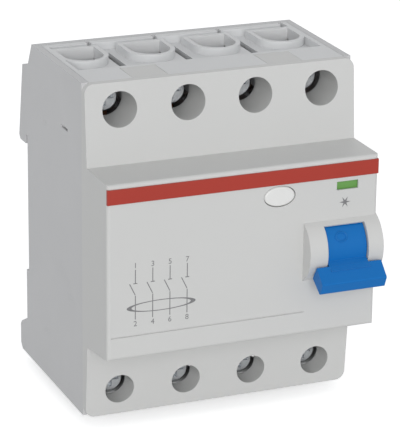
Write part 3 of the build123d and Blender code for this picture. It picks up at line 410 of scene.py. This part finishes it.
# ---------------------------------------------------------------- front cover
# The off-white front of the case, moulded in one piece with the collar and the toggle's
# hump, with a fine satin face.
cover_plastic = moulded(
    "cover_white", (0.62, 0.62, 0.61), roughness=0.42, grain=0.05, mottle=0.015
)
dress(cover_plastic, "front_cover")

# ---------------------------------------------------------------- printed marks
# Dark pad-printed ink on the collar's face: a plain diagram of four poles through a
# ring, with a plain number at each end, and a six-rayed star under the window.
ink = moulded("printing_ink", (0.2, 0.2, 0.205), roughness=0.55, grain=0.02, edge=0.01, edge_highlight_and_wear_lift=0)
face_y = -57.8
ink_depth = 0.04


def begin_print(name, x, z, width, height):
    """Start a printed sheet with its first stroke, and leave it open for more."""
    bpy.ops.object.select_all(action="DESELECT")
    bpy.ops.mesh.primitive_cube_add(
        size=1,
        location=(x * MM, face_y * MM, z * MM),
        scale=(width * MM, ink_depth * MM, height * MM),
    )
    sheet = bpy.context.object
    sheet.name = name
    bpy.ops.object.transform_apply(location=True, rotation=True, scale=True)
    bpy.ops.object.mode_set(mode="EDIT")
    return sheet


def stroke(x, z, width, height, turn=0.0):
    """Add one stroke to the sheet that is open."""
    bpy.ops.mesh.primitive_cube_add(
        size=1,
        location=(x * MM, face_y * MM, z * MM),
        rotation=(0, math.radians(turn), 0),
        scale=(width * MM, ink_depth * MM, height * MM),
    )


def end_print(sheet):
    """Soften the strokes' edges and put the sheet on the case."""
    bpy.ops.mesh.select_all(action="SELECT")
    bpy.ops.mesh.bevel(offset=0.012 * MM, segments=1)
    bpy.ops.object.mode_set(mode="OBJECT")
    settle(sheet, "case", ink)


line = 0.22
diagram_x, diagram_z, pole_step = -21.3, -5.3, 4.4
ways = [diagram_x + pole_step * (n - 1.5) for n in range(4)]
diagram = begin_print("pole_diagram", ways[0], diagram_z + 4.4, line, 3.4)
for way in ways[1:]:
    stroke(way, diagram_z + 4.4, line, 3.4)
for way in ways:
    stroke(way - 0.75, diagram_z + 1.15, line, 3.3, -26)
    stroke(way, diagram_z - 3.5, line, 6.0)
    stroke(way, diagram_z + 2.6, 1.0, line)
end_print(diagram)

bpy.ops.object.select_all(action="DESELECT")
bpy.ops.mesh.primitive_torus_add(
    major_segments=64,
    minor_segments=6,
    major_radius=1.3 * MM,
    minor_radius=0.1 * MM,
    location=(diagram_x * MM, face_y * MM, (diagram_z - 3.6) * MM),
    rotation=(math.radians(90), 0, 0),
)
ring = bpy.context.object
ring.name = "diagram_ring"
bpy.ops.object.mode_set(mode="EDIT")
bpy.ops.mesh.select_all(action="SELECT")
bpy.ops.transform.resize(value=(6.3, 0.25, 1), center_override=ring.location)
bpy.ops.object.mode_set(mode="OBJECT")
settle(ring, "case", ink)

for number in range(1, 9):
    upper_end = number % 2 == 1
    bpy.ops.object.select_all(action="DESELECT")
    bpy.ops.object.text_add(
        location=(
            ways[(number - 1) // 2] * MM,
            face_y * MM,
            (diagram_z + (6.5 if upper_end else -8.2)) * MM,
        ),
        rotation=(math.radians(90), 0, 0),
    )
    figure = bpy.context.object
    figure.data.body = str(number)
    figure.data.size = 1.9 * MM
    figure.data.extrude = 0.02 * MM
    figure.data.align_x = "CENTER"
    bpy.ops.object.convert(target="MESH")
    figure = bpy.context.object
    figure.name = f"pole_number_{number}"
    bpy.ops.object.mode_set(mode="EDIT")
    bpy.ops.mesh.select_all(action="SELECT")
    bpy.ops.mesh.remove_doubles(threshold=0.001 * MM)
    bpy.ops.mesh.normals_make_consistent(inside=False)
    bpy.ops.object.mode_set(mode="OBJECT")
    settle(figure, "case", ink)

star_x, star_z = 26.3, 11.2
bpy.ops.object.select_all(action="DESELECT")
bpy.ops.mesh.primitive_cylinder_add(
    vertices=12,
    radius=1.5 * MM,
    depth=ink_depth * MM,
    location=(star_x * MM, face_y * MM, star_z * MM),
    rotation=(math.radians(90), 0, 0),
)
star = bpy.context.object
star.name = "six_rayed_star"
bpy.ops.object.transform_apply(location=True, rotation=True, scale=True)
for corner in star.data.vertices:
    turn = math.degrees(math.atan2(corner.co.z - star_z * MM, corner.co.x - star_x * MM))
    corner.select = round(turn / 30) % 2 == 1
for other in list(star.data.edges) + list(star.data.polygons):
    other.select = False
bpy.ops.object.mode_set(mode="EDIT")
star_centre = (star_x * MM, face_y * MM, star_z * MM)
bpy.ops.transform.resize(value=(0.3, 1, 0.3), center_override=star_centre)
bpy.ops.object.mode_set(mode="OBJECT")
settle(star, "case", ink)

# ---------------------------------------------------------------- strip and button
# A red strip pressed into a groove across the collar, and the oval test button.
strip_plastic = moulded("strip_red", (0.40, 0.034, 0.019), roughness=0.4)
dress(strip_plastic, "colour_strip")
button_plastic = moulded("button_white", (0.77, 0.77, 0.755), roughness=0.3, grain=0.02)
dress(button_plastic, "test_button")
